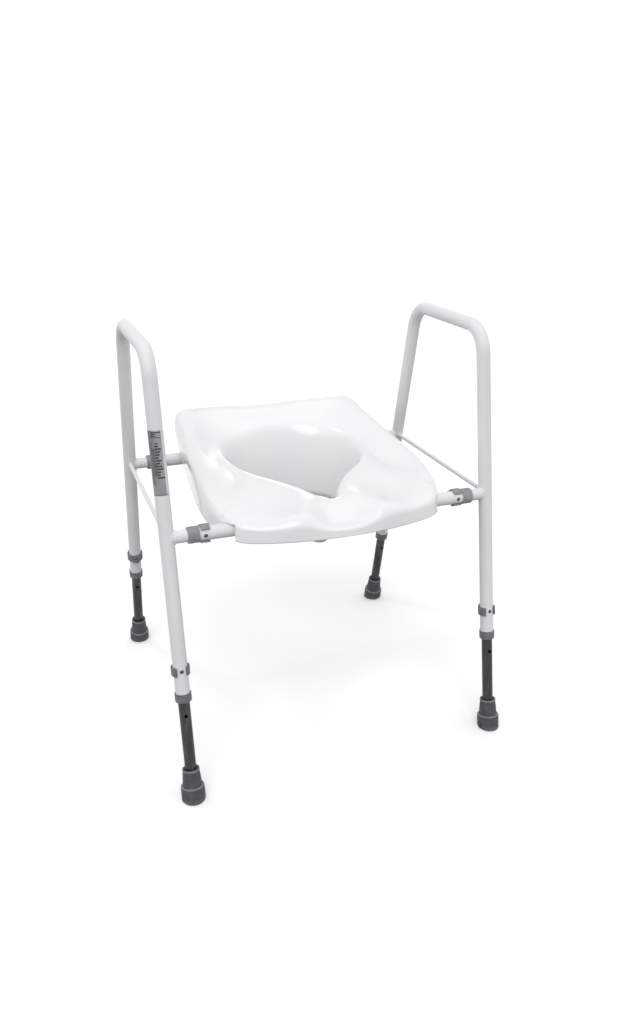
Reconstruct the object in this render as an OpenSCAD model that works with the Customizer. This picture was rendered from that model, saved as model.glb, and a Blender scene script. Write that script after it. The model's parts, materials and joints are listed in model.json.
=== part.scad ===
// Raised toilet seat on a free-standing frame, adjustable in height and width.
// Millimetres, +Z up, +X to the user's left as they sit, -Y is the front edge of the seat.
// The origin is on the floor, in the middle between the four feet.

/* [Frame] */
// Distance between the centre planes of the two side frames
frame_w = 608.5; // [600:0.5:640]
// Distance of each foot axis from the middle, along Y, at floor level
foot_y = 285; // [275:1:295]
// Height of the cross tubes that carry the seat
cross_z = 473; // [465:1:480]
// Distance of each cross tube from the middle, along Y
cross_y = 190; // [188:0.5:192]
// Height of the centre line of the arm grips
grip_z = 772; // [700:1:800]
// Centre line radius of the bend at each end of an arm grip
bend_r = 55; // [45:1:65]
// Diameter of the brace rods between the legs
brace_d = 8; // [6:0.5:10]

/* [Tubes] */
// Outside diameter of the main tubes
tube_d = 25.4; // [25:0.1:26]
// Wall of the side frame tubes
tube_wall = 1.5; // [1.2:0.1:2]
// Wall of the cross tubes, which the stubs slide in
cross_wall = 1.2; // [1:0.1:1.4]
// Outside diameter of the leg extensions
leg_d = 20.6; // [20:0.1:21]
// Outside diameter of the stubs welded to the side frames
stub_d = 22.2; // [21.8:0.1:22.4]
// Wall of the leg extensions and stubs
inner_wall = 1.5; // [1.2:0.1:2]

/* [Adjustment] */
// Distance between height settings, along a leg
leg_pitch = 28; // [25:1:30]
// Number of height settings
leg_steps = 7; // [5:2:7]
// Distance between width settings on each side
width_pitch = 12.5; // [10:0.5:13]
// Number of width settings
width_steps = 7; // [5:1:7]
// Settings further in than the one in use
width_in = 1; // [0:1:1]
// Diameter of the locking pins
pin_d = 6; // [5:0.5:6]
// Diameter of the holes that the pins pass through
hole_d = 7; // [6.5:0.1:7.5]

/* [Seat] */
// Wall of the seat moulding
seat_wall = 3.5; // [3:0.1:4]
// Height of the front skirt's lower edge
front_hem_z = 457; // [455:1:459]
// Height of the side skirt's lower edge
side_hem_z = 467; // [462:1:470]
// Height of the open lower end of the hopper
outlet_z = 388; // [380:1:410]

/* [Feet] */
// Largest diameter of a rubber foot
foot_d = 42.5; // [38:0.5:46]
// Length of a rubber foot, along the leg
foot_h = 60; // [50:1:70]

/* [Hidden] */
$fn = 64;

// Sides and ends, as signs along X and Y
LEFT = -1;
RIGHT = 1;
FRONT = -1;
REAR = 1;

// Cutting tools run past what they cut by this much
over = 1;

// Lean of the legs, away from the middle
lean = atan((foot_y - cross_y) / cross_z);

// Along a leg from the floor: collar, pin, and the ends of the tubes
leg_collar_s = 190;
leg_collar_h = 16;
leg_tube_s = 204;
leg_pin_s = 248;
leg_start_s = 14;
leg_end_s = 420;

// Along a cross tube from the middle: collar, pin, and the ends of the tubes
cross_end_x = 264;
cross_collar_x = 250;
cross_collar_h = 20;
cross_pin_x = 240;
stub_end_x = 150;

collar_d = 29.2;
collar_slip = 0.4;
rim_bevel = 1.2;

powder_white = [0.90, 0.90, 0.91];
gloss_white = [0.96, 0.96, 0.96];
grip_grey = [0.50, 0.52, 0.55];
dark_metal = [0.36, 0.34, 0.34];
rubber_slate = [0.27, 0.29, 0.32];
bright_steel = [0.75, 0.75, 0.76];
dark_steel = [0.30, 0.30, 0.31];
label_grey = [0.60, 0.61, 0.63];

// ---------------------------------------------------------------- placing

// A part built up +Z from the floor, set on one leg's axis; its own +Y faces inwards
module at_leg(side, end) {
    translate([side * frame_w / 2, end * foot_y, 0])
        rotate([end * lean, 0, 0])
            rotate([0, 0, end == REAR ? 180 : 0])
                children();
}

// A part built up +Z from the middle, set along one half of a cross tube; its +Y faces inwards
module at_cross(side, end) {
    translate([0, end * cross_y, cross_z])
        rotate([0, side * 90, 0])
            rotate([0, 0, end == REAR ? 180 : 0])
                children();
}

// ---------------------------------------------------------------- common shapes

// A round tube along +Z from height a to height b
module pipe(d, wall, a, b) {
    difference() {
        translate([0, 0, a])
            cylinder(d = d, h = b - a);
        translate([0, 0, a - over])
            cylinder(d = d - 2 * wall, h = b - a + 2 * over);
    }
}

// A drill through a tube of diameter d, across it along Y at height s
module cross_drill(d, s) {
    translate([0, 0, s])
        rotate([90, 0, 0])
            cylinder(d = hole_d, h = d + 2 * over, center = true);
}

// A collar that caps a tube's end and guides the smaller tube that slides in it
module collar(a, h, tube_end, inner_d) {
    r = collar_d / 2;
    bore = (inner_d + collar_slip) / 2;
    rotate_extrude()
        polygon([
            [bore, a], [r - rim_bevel, a], [r, a + sign(h) * rim_bevel],
            [r, a + h], [tube_d / 2, a + h], [tube_d / 2, tube_end], [bore, tube_end]
        ]);
}

// The plastic part of a locking clip: a C that snaps round the tube, with a ridged back and a tab
clip_bore = tube_d + 0.4;
clip_od = 33;
clip_h = 16;
clip_back_w = 13;
clip_back_t = 4;
tab_w = 9;
tab_t = 3;
tab_l = 7;

module clip_body(s, gap) {
    reach = clip_od;
    translate([0, 0, s])
        difference() {
            union() {
                cylinder(d = clip_od, h = clip_h, center = true);
                translate([-clip_back_w / 2, 0, -clip_h / 2])
                    cube([clip_back_w, clip_od / 2 + clip_back_t - 1, clip_h]);
                translate([-tab_w / 2, clip_od / 2, -tab_t / 2])
                    cube([tab_w, tab_l, tab_t]);
            }
            cylinder(d = clip_bore, h = clip_h + 2 * over, center = true);
            linear_extrude(clip_h + 2 * over, center = true)
                polygon([[0, 0], [reach * sin(gap), -reach * cos(gap)], [-reach * sin(gap), -reach * cos(gap)]]);
            rotate([-90, 0, 0])
                cylinder(d = pin_d, h = pin_back_y);
        }
}

// How far the pin reaches into the clip's back, and out through the far wall of the tube
pin_back_y = clip_od / 2 + 1;
pin_tip_y = -tube_d / 2 + 0.6;
pin_nose = 1.5;

module clip_pin(s) {
    translate([0, pin_back_y, s])
        rotate([90, 0, 0])
            rotate_extrude()
                polygon([
                    [0, 0], [pin_d / 2, 0], [pin_d / 2, pin_back_y - pin_tip_y - pin_nose],
                    [pin_d / 2 - pin_nose, pin_back_y - pin_tip_y], [0, pin_back_y - pin_tip_y]
                ]);
}

// ---------------------------------------------------------------- side frames

// Where an arm grip's bend begins and ends, in the plane of a side frame
turn = 90 - lean;
grip_corner_y = foot_y - grip_z * tan(lean);
bend_y = grip_corner_y - bend_r * tan(turn / 2);
bend_s = (grip_z - bend_r + bend_r * sin(lean)) / cos(lean);

// One half of the bent tube's outside or inside: leg, bend and half the grip
module handle_half(d, end, low) {
    translate([0, end * foot_y, 0])
        rotate([end * lean, 0, 0])
            translate([0, 0, low])
                cylinder(d = d, h = bend_s - low);
    mirror([0, end == FRONT ? 1 : 0, 0])
        translate([0, bend_y, grip_z - bend_r])
            rotate([90, 0, 90])
                rotate([0, 0, lean])
                    rotate_extrude(angle = turn)
                        translate([bend_r, 0])
                            circle(d = d);
    translate([0, 0, grip_z])
        rotate([-end * 90, 0, 0])
            cylinder(d = d, h = bend_y);
}

module handle_tube(side) {
    difference() {
        translate([side * frame_w / 2, 0, 0])
            difference() {
                union() {
                    handle_half(tube_d, FRONT, leg_tube_s);
                    handle_half(tube_d, REAR, leg_tube_s);
                }
                handle_half(tube_d - 2 * tube_wall, FRONT, leg_tube_s - over);
                handle_half(tube_d - 2 * tube_wall, REAR, leg_tube_s - over);
            }
        at_leg(side, FRONT)
            cross_drill(tube_d, leg_pin_s);
        at_leg(side, REAR)
            cross_drill(tube_d, leg_pin_s);
    }
}

// A short tube welded to an upright, which slides in the cross tube
module stub(side, end) {
    difference() {
        at_cross(side, end)
            difference() {
                pipe(stub_d, inner_wall, stub_end_x, frame_w / 2);
                for (i = [0 : width_steps - 1])
                    cross_drill(stub_d, cross_pin_x + (width_in - i) * width_pitch);
            }
        at_leg(side, end)
            cylinder(d = tube_d, h = bend_s);
    }
}

module brace_rod(side) {
    rod_y = foot_y - cross_z * tan(lean);
    difference() {
        translate([side * frame_w / 2, 0, cross_z + 2])
            rotate([90, 0, 0])
                cylinder(d = brace_d, h = 2 * rod_y, center = true);
        at_leg(side, FRONT)
            cylinder(d = tube_d, h = bend_s);
        at_leg(side, REAR)
            cylinder(d = tube_d, h = bend_s);
    }
}

// ---------------------------------------------------------------- legs and feet

module leg_extension() {
    difference() {
        pipe(leg_d, inner_wall, leg_start_s, leg_end_s);
        for (i = [0 : leg_steps - 1])
            cross_drill(leg_d, leg_pin_s + (i - (leg_steps - 1) / 2) * leg_pitch);
    }
}

washer_h = 2;
cup_h = 26;
neck_d = 35;
lip_d = 32;
lip_h = 4;

module ferrule() {
    r = foot_d / 2;
    difference() {
        rotate_extrude()
            polygon([
                [0, -foot_d / 4], [r, -foot_d / 4], [r, cup_h], [r - 2, cup_h + 3],
                [neck_d / 2, cup_h + 5], [lip_d / 2 - 1, foot_h - lip_h],
                [lip_d / 2, foot_h - lip_h], [lip_d / 2, foot_h], [0, foot_h]
            ]);
        translate([0, 0, leg_start_s - washer_h])
            cylinder(d = leg_d, h = foot_h);
    }
}

// The foot is trimmed flat where it meets the floor
module foot(side, end) {
    difference() {
        at_leg(side, end)
            ferrule();
        translate([side * frame_w / 2 - foot_d, end * foot_y - foot_d, -foot_d])
            cube([2 * foot_d, 2 * foot_d, foot_d]);
    }
}

module washer() {
    translate([0, 0, leg_start_s - washer_h])
        cylinder(d = leg_d - 1, h = washer_h);
}

// ---------------------------------------------------------------- cross tubes

module cross_tube(end) {
    difference() {
        at_cross(RIGHT, end)
            pipe(tube_d, cross_wall, -cross_end_x, cross_end_x);
        for (side = [LEFT, RIGHT])
            at_cross(side, end)
                cross_drill(tube_d, cross_pin_x);
    }
}

// ---------------------------------------------------------------- seat

// Half of the seat's outline, from the middle of the front round to the middle of the back.
// lip: edge of the hopper's mouth; crest: top of the border; edge: outermost bulge; hem: foot of skirt
lip = [
    [0, -170, 498], [13, -166, 498], [24, -146, 499], [35, -118, 502], [54, -88, 505], [79, -62, 509],
    [110, -37, 513], [132, -5, 516], [139, 33, 519], [138, 68, 521], [130, 98, 523], [114, 122, 525],
    [92, 142, 527], [70, 155, 528], [46, 163, 529], [24, 167, 530], [0, 168, 530]
];
crest = [
    [0, -230, 474], [34, -230, 474], [66, -231, 505], [104, -226, 495], [142, -214, 489], [180, -197, 495],
    [203, -162, 503], [214, -110, 517], [216, -50, 527], [213, 20, 534], [207, 100, 545], [203, 175, 558],
    [200, 228, 569], [170, 236, 569], [100, 238, 568], [50, 238, 564], [0, 238, 562]
];
edge = [
    [0, -250, 471], [38, -249, 472], [74, -246, 487], [110, -239, 484], [148, -228, 481], [192, -214, 487],
    [215, -166, 494], [224, -106, 503], [223, -44, 510], [218, 24, 516], [211, 104, 524], [207, 180, 534],
    [205, 237, 544], [172, 243, 544], [100, 244, 542], [50, 244, 540], [0, 244, 540]
];
hem = [
    [0, -253], [38, -252], [76, -249], [112, -242], [150, -233], [195, -217],
    [219, -169], [225, -106], [221, -40], [215, 24], [206, 104], [200, 176],
    [194, 214], [160, 216], [100, 216], [50, 216], [0, 216]
];
// Share of the way from lip to crest at which the border breaks downwards into the dish
brim = [0.85, 0.85, 0.85, 0.85, 0.8, 0.68, 0.6, 0.2, 0.42, 0.62, 0.7, 0.72, 0.72, 0.68, 0.64, 0.62, 0.62];
last = len(lip) - 1;

// The hopper narrows towards this point, to these fractions of its mouth
hopper_y = 10;
wall_scale = 0.88;
wall_z = 474;
outlet_scale = 0.72;

// The skirt is cut away round the cross tubes, between these stations of the outline
arch_gap = 0.8;
arch_z = cross_z + tube_d / 2 + arch_gap;
front_arch = [5.05, 5.85];
rear_arch = 11;
step_u = 0.06;
front_hem_count = 6;

function stretch(p, f) = [p[0] * f, hopper_y + (p[1] - hopper_y) * f];
function hem_base(k) = k < front_hem_count ? front_hem_z : side_hem_z;

// The first stations cross the hand recess and the thigh rests; the others have a flat brim round a dish
front_count = 7;
recess_count = 2;
recess_crown = 8;
thigh_crown = 3;

// How far a point stands above the straight line from lip to crest, at the share f of the way
function crown(k, f) = (k < recess_count ? recess_crown : thigh_crown) * (1 - f);

// Three points from lip to crest across a thigh rest or the hand recess
function rest_points(l, c, k) = [
    for (f = [0.36, 0.72, 1]) l + f * brim[k] * (c - l) + [0, 0, crown(k, f * brim[k])]
];

// Three points from lip to crest: up the dish, just inside the brim's break, and the break itself
brim_drop = 6;
brim_edge = 0.09;
brim_fall = 3.2;
dish_share = 0.45;
dish_height = 0.36;
function dish_points(l, c, k) =
    let (b = brim[k], z = c[2] - brim_drop * (1.25 - b), o = l + b * (c - l), i = l + (b - brim_edge) * (c - l))
    let (m = l + dish_share * b * (c - l))
    [
        [m[0], m[1], l[2] + (z - brim_fall - l[2]) * dish_height],
        [i[0], i[1], z - brim_fall],
        [o[0], o[1], z]
    ];

// The ten control points of one station, from the hopper's outlet to the skirt's hem
function station(k) =
    let (l = lip[k], c = crest[k], e = edge[k], h = [hem[k][0], hem[k][1], hem_base(k)])
    let (o = stretch(l, outlet_scale), w = stretch(l, wall_scale))
    [
        [o[0], o[1], outlet_z],
        [w[0], w[1], wall_z],
        l,
        each k < front_count ? rest_points(l, c, k) : dish_points(l, c, k),
        c,
        e,
        (e + h) / 2,
        h
    ];

half_net = [for (k = [0 : last]) station(k)];
function flip(q) = [for (p = q) [-p[0], p[1], p[2]]];
net = concat(half_net, [for (k = [last - 1 : -1 : 1]) flip(half_net[k])]);
rings = len(net[0]) - 2;

// Cubic spline round the seat, at u stations from the front; closed
function around(u) =
    let (n = len(net), i = floor(u), t = u - i)
    let (a = pow(1 - t, 3) / 6, b = (3 * pow(t, 3) - 6 * t * t + 4) / 6)
    let (c = (-3 * pow(t, 3) + 3 * t * t + 3 * t + 1) / 6, d = pow(t, 3) / 6)
    a * net[(i + n - 1) % n] + b * net[(i + n) % n] + c * net[(i + 1) % n] + d * net[(i + 2) % n];

// Quadratic spline across the seat through one row q of control points, v from 0 to rings
function across(q, v) =
    let (i = min(floor(v), rings - 1), t = v - i)
    let (a = i == 0 ? q[0] : (q[i] + q[i + 1]) / 2)
    let (c = i == rings - 1 ? q[rings + 1] : (q[i + 1] + q[i + 2]) / 2)
    pow(1 - t, 2) * a + 2 * t * (1 - t) * q[i + 1] + t * t * c;

// Height of the hem at u, with the arches over the cross tubes
function hem_z(u) =
    let (h = min(u, 2 * last - u))
    h < front_arch[0] ? front_hem_z
    : h < front_arch[1] ? arch_z
    : h < rear_arch ? side_hem_z : arch_z;

// A point p of the skirt, at v, is raised so that the skirt's height range from lo to hi ends at the hem
function lifted(p, v, lo, hi, hem) =
    v < rings - 2 || p[2] > hi ? p : [p[0], p[1], hem + (p[2] - lo) * (hi - hem) / (hi - lo)];

// One meridian at u: outer points from outlet to hem, then inner points back to the outlet
nudge = 0.02;
function normal(qa, q, qb, v) =
    let (along = across(qb, v) - across(qa, v))
    let (down = across(q, min(v + nudge, rings)) - across(q, max(v - nudge, 0)), n = cross(along, down))
    n / norm(n);

function meridian(u) =
    let (q = around(u), qa = around(u - nudge), qb = around(u + nudge))
    let (hi = across(q, rings - 2)[2], lo = across(q, rings)[2], hem = hem_z(u))
    [
        for (v = outer_rows) lifted(across(q, v), v, lo, hi, hem),
        for (v = inner_rows) lifted(across(q, v) + seat_wall * normal(qa, q, qb, v), v, lo, hi, hem)
    ];

function run(a, b, n) = [for (i = [0 : n - 1]) a + (b - a) * i / (n - 1)];
outer_rows = run(0, rings, 25);
inner_rows = run(rings, 0, 19);
half_u = concat(
    run(0, front_arch[0] - step_u / 2, 16),
    run(front_arch[0] + step_u / 2, front_arch[1] - step_u / 2, 5),
    run(front_arch[1] + step_u / 2, rear_arch - step_u / 2, 15),
    run(rear_arch + step_u / 2, last, 13)
);
turns = concat(half_u, [for (i = [len(half_u) - 2 : -1 : 1]) 2 * last - half_u[i]]);

module seat_shell() {
    loops = [for (u = turns) meridian(u)];
    m = len(loops[0]);
    n = len(loops);
    polyhedron(
        points = [for (row = loops) for (p = row) p],
        faces = [
            for (i = [0 : n - 1]) for (j = [0 : m - 1])
                let (i2 = (i + 1) % n, j2 = (j + 1) % m)
                each [
                    [i * m + j, i2 * m + j, i * m + j2],
                    [i2 * m + j, i2 * m + j2, i * m + j2]
                ]
        ]
    );
}

// Snap clips under the seat: a C, open downwards, on a post that meets the seat's underside
snap_bore = tube_d + 0.3;
snap_od = 33;
snap_w = 22;
snap_gap = 55;
front_snap_x = 100;
rear_snap_x = 165;
front_post_z = 492;
rear_post_z = 555.4;
post_d = 11;
screw_d = 4;
front_bite = 2.5;
rear_bite = 4;

module seat_clip(side, end) {
    x = side * (end == FRONT ? front_snap_x : rear_snap_x);
    top = (end == FRONT ? front_post_z : rear_post_z) - cross_z;
    reach = snap_od;
    translate([x, end * cross_y, cross_z])
        difference() {
            union() {
                rotate([0, 90, 0])
                    cylinder(d = snap_od, h = snap_w, center = true);
                cylinder(d = post_d, h = top);
            }
            rotate([0, 90, 0])
                cylinder(d = snap_bore, h = snap_w + 2 * over, center = true);
            rotate([90, 0, 90])
                linear_extrude(snap_w + 2 * over, center = true)
                    polygon([
                        [0, 0], [reach * sin(snap_gap), -reach * cos(snap_gap)],
                        [-reach * sin(snap_gap), -reach * cos(snap_gap)]
                    ]);
            translate([0, 0, tube_d / 2])
                cylinder(d = screw_d, h = top);
        }
}

module seat_clip_screw(side, end) {
    x = side * (end == FRONT ? front_snap_x : rear_snap_x);
    tip = end == FRONT ? front_post_z + front_bite : rear_post_z + rear_bite;
    base = cross_z + snap_bore / 2 + 1;
    translate([x, end * cross_y, base])
        cylinder(d = screw_d, h = tip - base);
}

// ---------------------------------------------------------------- label

label_s = 557;
label_h = 108;
label_t = 0.2;

// A blank sticker that wraps the outer half of the left front upright
module label_wrap() {
    difference() {
        pipe(tube_d + 2 * label_t, label_t, label_s, label_s + label_h);
        rotate([0, 0, -35])
            translate([-tube_d, 0, label_s - over])
                cube([2 * tube_d, tube_d, label_h + 2 * over]);
    }
}

// ---------------------------------------------------------------- nodes

module seat_moulding() { color(gloss_white) seat_shell(); }
module seat_clip_front_left() { color(gloss_white) seat_clip(LEFT, FRONT); }
module seat_clip_front_right() { color(gloss_white) seat_clip(RIGHT, FRONT); }
module seat_clip_rear_left() { color(gloss_white) seat_clip(LEFT, REAR); }
module seat_clip_rear_right() { color(gloss_white) seat_clip(RIGHT, REAR); }
module seat_clip_screws() {
    color(bright_steel)
        for (side = [LEFT, RIGHT])
            for (end = [FRONT, REAR])
                seat_clip_screw(side, end);
}

module cross_tube_front() { color(powder_white) cross_tube(FRONT); }
module cross_tube_rear() { color(powder_white) cross_tube(REAR); }

module cross_collar(side, end) {
    color(grip_grey)
        at_cross(side, end)
            collar(cross_collar_x + cross_collar_h, -cross_collar_h, cross_end_x, stub_d);
}
module cross_collar_front_left() { cross_collar(LEFT, FRONT); }
module cross_collar_front_right() { cross_collar(RIGHT, FRONT); }
module cross_collar_rear_left() { cross_collar(LEFT, REAR); }
module cross_collar_rear_right() { cross_collar(RIGHT, REAR); }

cross_gap = 45;
module cross_clip(side, end) { color(grip_grey) at_cross(side, end) clip_body(cross_pin_x, cross_gap); }
module cross_clip_front_left() { cross_clip(LEFT, FRONT); }
module cross_clip_front_right() { cross_clip(RIGHT, FRONT); }
module cross_clip_rear_left() { cross_clip(LEFT, REAR); }
module cross_clip_rear_right() { cross_clip(RIGHT, REAR); }

module cross_pin(side, end) { color(dark_steel) at_cross(side, end) clip_pin(cross_pin_x); }
module cross_pin_front_left() { cross_pin(LEFT, FRONT); }
module cross_pin_front_right() { cross_pin(RIGHT, FRONT); }
module cross_pin_rear_left() { cross_pin(LEFT, REAR); }
module cross_pin_rear_right() { cross_pin(RIGHT, REAR); }

module handle_tube_left() { color(powder_white) handle_tube(LEFT); }
module handle_tube_right() { color(powder_white) handle_tube(RIGHT); }
module stub_front_left() { color(powder_white) stub(LEFT, FRONT); }
module stub_front_right() { color(powder_white) stub(RIGHT, FRONT); }
module stub_rear_left() { color(powder_white) stub(LEFT, REAR); }
module stub_rear_right() { color(powder_white) stub(RIGHT, REAR); }
module brace_rod_left() { color(powder_white) brace_rod(LEFT); }
module brace_rod_right() { color(powder_white) brace_rod(RIGHT); }

module leg_collar(side, end) {
    color(grip_grey)
        at_leg(side, end)
            collar(leg_collar_s, leg_collar_h, leg_tube_s, leg_d);
}
module leg_collar_front_left() { leg_collar(LEFT, FRONT); }
module leg_collar_front_right() { leg_collar(RIGHT, FRONT); }
module leg_collar_rear_left() { leg_collar(LEFT, REAR); }
module leg_collar_rear_right() { leg_collar(RIGHT, REAR); }

leg_gap = 35;
module leg_clip(side, end) { color(grip_grey) at_leg(side, end) clip_body(leg_pin_s, leg_gap); }
module leg_clip_front_left() { leg_clip(LEFT, FRONT); }
module leg_clip_front_right() { leg_clip(RIGHT, FRONT); }
module leg_clip_rear_left() { leg_clip(LEFT, REAR); }
module leg_clip_rear_right() { leg_clip(RIGHT, REAR); }

module leg_pin(side, end) { color(dark_steel) at_leg(side, end) clip_pin(leg_pin_s); }
module leg_pin_front_left() { leg_pin(LEFT, FRONT); }
module leg_pin_front_right() { leg_pin(RIGHT, FRONT); }
module leg_pin_rear_left() { leg_pin(LEFT, REAR); }
module leg_pin_rear_right() { leg_pin(RIGHT, REAR); }

module leg(side, end) { color(dark_metal) at_leg(side, end) leg_extension(); }
module leg_front_left() { leg(LEFT, FRONT); }
module leg_front_right() { leg(RIGHT, FRONT); }
module leg_rear_left() { leg(LEFT, REAR); }
module leg_rear_right() { leg(RIGHT, REAR); }

module ferrule_front_left() { color(rubber_slate) foot(LEFT, FRONT); }
module ferrule_front_right() { color(rubber_slate) foot(RIGHT, FRONT); }
module ferrule_rear_left() { color(rubber_slate) foot(LEFT, REAR); }
module ferrule_rear_right() { color(rubber_slate) foot(RIGHT, REAR); }

module foot_washer(side, end) { color(bright_steel) at_leg(side, end) washer(); }
module washer_front_left() { foot_washer(LEFT, FRONT); }
module washer_front_right() { foot_washer(RIGHT, FRONT); }
module washer_rear_left() { foot_washer(LEFT, REAR); }
module washer_rear_right() { foot_washer(RIGHT, REAR); }

module rating_label() { color(label_grey) at_leg(LEFT, FRONT) label_wrap(); }

seat_moulding();
seat_clip_front_left();
seat_clip_front_right();
seat_clip_rear_left();
seat_clip_rear_right();
seat_clip_screws();
cross_tube_front();
cross_tube_rear();
cross_collar_front_left();
cross_collar_front_right();
cross_collar_rear_left();
cross_collar_rear_right();
cross_clip_front_left();
cross_clip_front_right();
cross_clip_rear_left();
cross_clip_rear_right();
cross_pin_front_left();
cross_pin_front_right();
cross_pin_rear_left();
cross_pin_rear_right();
handle_tube_left();
handle_tube_right();
stub_front_left();
stub_front_right();
stub_rear_left();
stub_rear_right();
brace_rod_left();
brace_rod_right();
leg_collar_front_left();
leg_collar_front_right();
leg_collar_rear_left();
leg_collar_rear_right();
leg_clip_front_left();
leg_clip_front_right();
leg_clip_rear_left();
leg_clip_rear_right();
leg_pin_front_left();
leg_pin_front_right();
leg_pin_rear_left();
leg_pin_rear_right();
leg_front_left();
leg_front_right();
leg_rear_left();
leg_rear_right();
ferrule_front_left();
ferrule_front_right();
ferrule_rear_left();
ferrule_rear_right();
washer_front_left();
washer_front_right();
washer_rear_left();
washer_rear_right();
rating_label();
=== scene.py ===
"""Looks for the raised toilet seat: materials, fine shapes, floor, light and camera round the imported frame.

Metres, in the row's frame: +Z up, the front of the seat faces -Y, the origin is on the floor.
"""

import json
import math

import bmesh
import bpy
import numpy as np
from mathutils import Matrix, Vector


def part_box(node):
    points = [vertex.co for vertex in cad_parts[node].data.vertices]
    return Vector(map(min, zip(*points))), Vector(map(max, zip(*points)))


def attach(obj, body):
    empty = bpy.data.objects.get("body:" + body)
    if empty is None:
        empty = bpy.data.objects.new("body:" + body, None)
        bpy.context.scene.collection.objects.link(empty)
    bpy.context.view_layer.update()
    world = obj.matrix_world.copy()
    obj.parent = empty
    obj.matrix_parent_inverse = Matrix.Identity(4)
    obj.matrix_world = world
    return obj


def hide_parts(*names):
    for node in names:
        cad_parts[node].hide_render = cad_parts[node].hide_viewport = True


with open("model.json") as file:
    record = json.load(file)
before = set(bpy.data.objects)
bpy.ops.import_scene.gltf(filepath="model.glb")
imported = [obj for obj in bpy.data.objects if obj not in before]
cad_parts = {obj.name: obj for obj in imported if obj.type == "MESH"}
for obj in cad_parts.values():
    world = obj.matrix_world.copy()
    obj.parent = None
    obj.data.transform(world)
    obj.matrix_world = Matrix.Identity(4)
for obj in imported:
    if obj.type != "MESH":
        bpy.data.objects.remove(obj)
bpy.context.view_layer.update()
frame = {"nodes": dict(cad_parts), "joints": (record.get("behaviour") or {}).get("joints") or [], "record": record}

MM = 0.001
X, Y, Z = 0, 1, 2
LEFT, RIGHT = -1, 1
FRONT, REAR = -1, 1
SIDES = {"left": LEFT, "right": RIGHT}
ENDS = {"front": FRONT, "rear": REAR}
CORNERS = [(end + "_" + side, SIDES[side], ENDS[end]) for end in ENDS for side in SIDES]


# ---------------------------------------------------------------- driving sizes, from the frame

def middle(node):
    low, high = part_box(node)
    return (low + high) / 2


def half_width(node, axis):
    low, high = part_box(node)
    return (high[axis] - low[axis]) / 2


def joint_axis(name):
    return next(j["axis"] for j in frame["joints"] if j["name"] == name)


side_x = middle("handle_tube_right").x
cross_y = middle("cross_tube_rear").y
cross_z = middle("cross_tube_rear").z
foot_y = max(m["pos_m"][1] for m in frame["record"]["mounts"])
slope = joint_axis("height_rear_left")
lean = math.atan2(slope[1], -slope[2])
tube_r = half_width("cross_tube_rear", Z)
leg_r = half_width("leg_front_left", X)
stub_r = half_width("stub_front_left", Z)
brace_r = half_width("brace_rod_left", X)
brace_z = middle("brace_rod_left").z
foot_r = half_width("ferrule_front_left", X)
foot_h = 60 * MM
# Distance up the leg, from the floor, to its locking pin
leg_pin_s = 248 * MM
cross_pin_x = abs(middle("cross_pin_front_left").x)


def end_turn(end):
    return Matrix.Rotation(math.pi if end == REAR else 0.0, 4, "Z")


def leg_matrix(side, end):
    """Local +Z runs up the leg from the floor and local +Y faces inwards."""
    place = Matrix.Translation((side * side_x, end * foot_y, 0))
    return place @ Matrix.Rotation(end * lean, 4, "X") @ end_turn(end)


def cross_matrix(side, end):
    """Local +Z runs out along one half of a cross tube and local +Y faces inwards."""
    place = Matrix.Translation((0, end * cross_y, cross_z))
    return place @ Matrix.Rotation(side * math.pi / 2, 4, "Y") @ end_turn(end)


# ---------------------------------------------------------------- mesh helpers

def link(name, data):
    """An object in the scene that shows the given mesh, light or camera."""
    obj = bpy.data.objects.new(name, data)
    bpy.context.scene.collection.objects.link(obj)
    return obj


def shade_smooth(mesh):
    mesh.polygons.foreach_set("use_smooth", [True] * len(mesh.polygons))


def new_object(name, verts, faces, matrix=None):
    mesh = bpy.data.meshes.new(name)
    mesh.from_pydata([tuple(v) for v in verts], [], faces)
    if matrix is not None:
        mesh.transform(matrix)
    mesh.update()
    shade_smooth(mesh)
    return link(name, mesh)


def mesh_from(name, bm):
    """Turns a working mesh into a finished one and frees it."""
    mesh = bpy.data.meshes.new(name)
    bm.to_mesh(mesh)
    bm.free()
    return mesh


def loft(rings, closed_path=False):
    """Vertices and faces of a skin through closed rings of equal length; an open path gets end caps."""
    n, m = len(rings), len(rings[0])
    verts = [p for ring in rings for p in ring]
    faces = []
    for i in range(n if closed_path else n - 1):
        i2 = (i + 1) % n
        for j in range(m):
            j2 = (j + 1) % m
            faces.append((i * m + j, i * m + j2, i2 * m + j2, i2 * m + j))
    if not closed_path:
        faces.append(tuple(reversed(range(m))))
        faces.append(tuple((n - 1) * m + j for j in range(m)))
    return verts, faces


def outward(obj):
    """Turns every face of a closed mesh outwards."""
    bm = bmesh.new()
    bm.from_mesh(obj.data)
    bmesh.ops.recalc_face_normals(bm, faces=bm.faces)
    bm.to_mesh(obj.data)
    bm.free()
    return obj


def lathe(name, profile, steps, matrix):
    """A profile of (radius, height) points, both ends on the axis or meeting, turned about Z."""
    rings = []
    for i in range(steps):
        a = 2 * math.pi * i / steps
        rings.append([(r * math.cos(a), r * math.sin(a), z) for r, z in profile])
    verts, faces = loft(rings, closed_path=True)
    return outward(new_object(name, verts, faces, matrix))


def rounded(points, radius, steps):
    """A closed outline with each corner turned into an arc of about the given radius."""
    out = []
    n = len(points)
    for i in range(n):
        a, p, b = (Vector(points[(i + k) % n]) for k in (-1, 0, 1))
        reach = min(radius, (a - p).length * 0.45, (b - p).length * 0.45)
        start, stop = p + (a - p).normalized() * reach, p + (b - p).normalized() * reach
        for k in range(steps + 1):
            t = k / steps
            out.append(tuple((1 - t) ** 2 * start + 2 * t * (1 - t) * p + t * t * stop))
    return out


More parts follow.
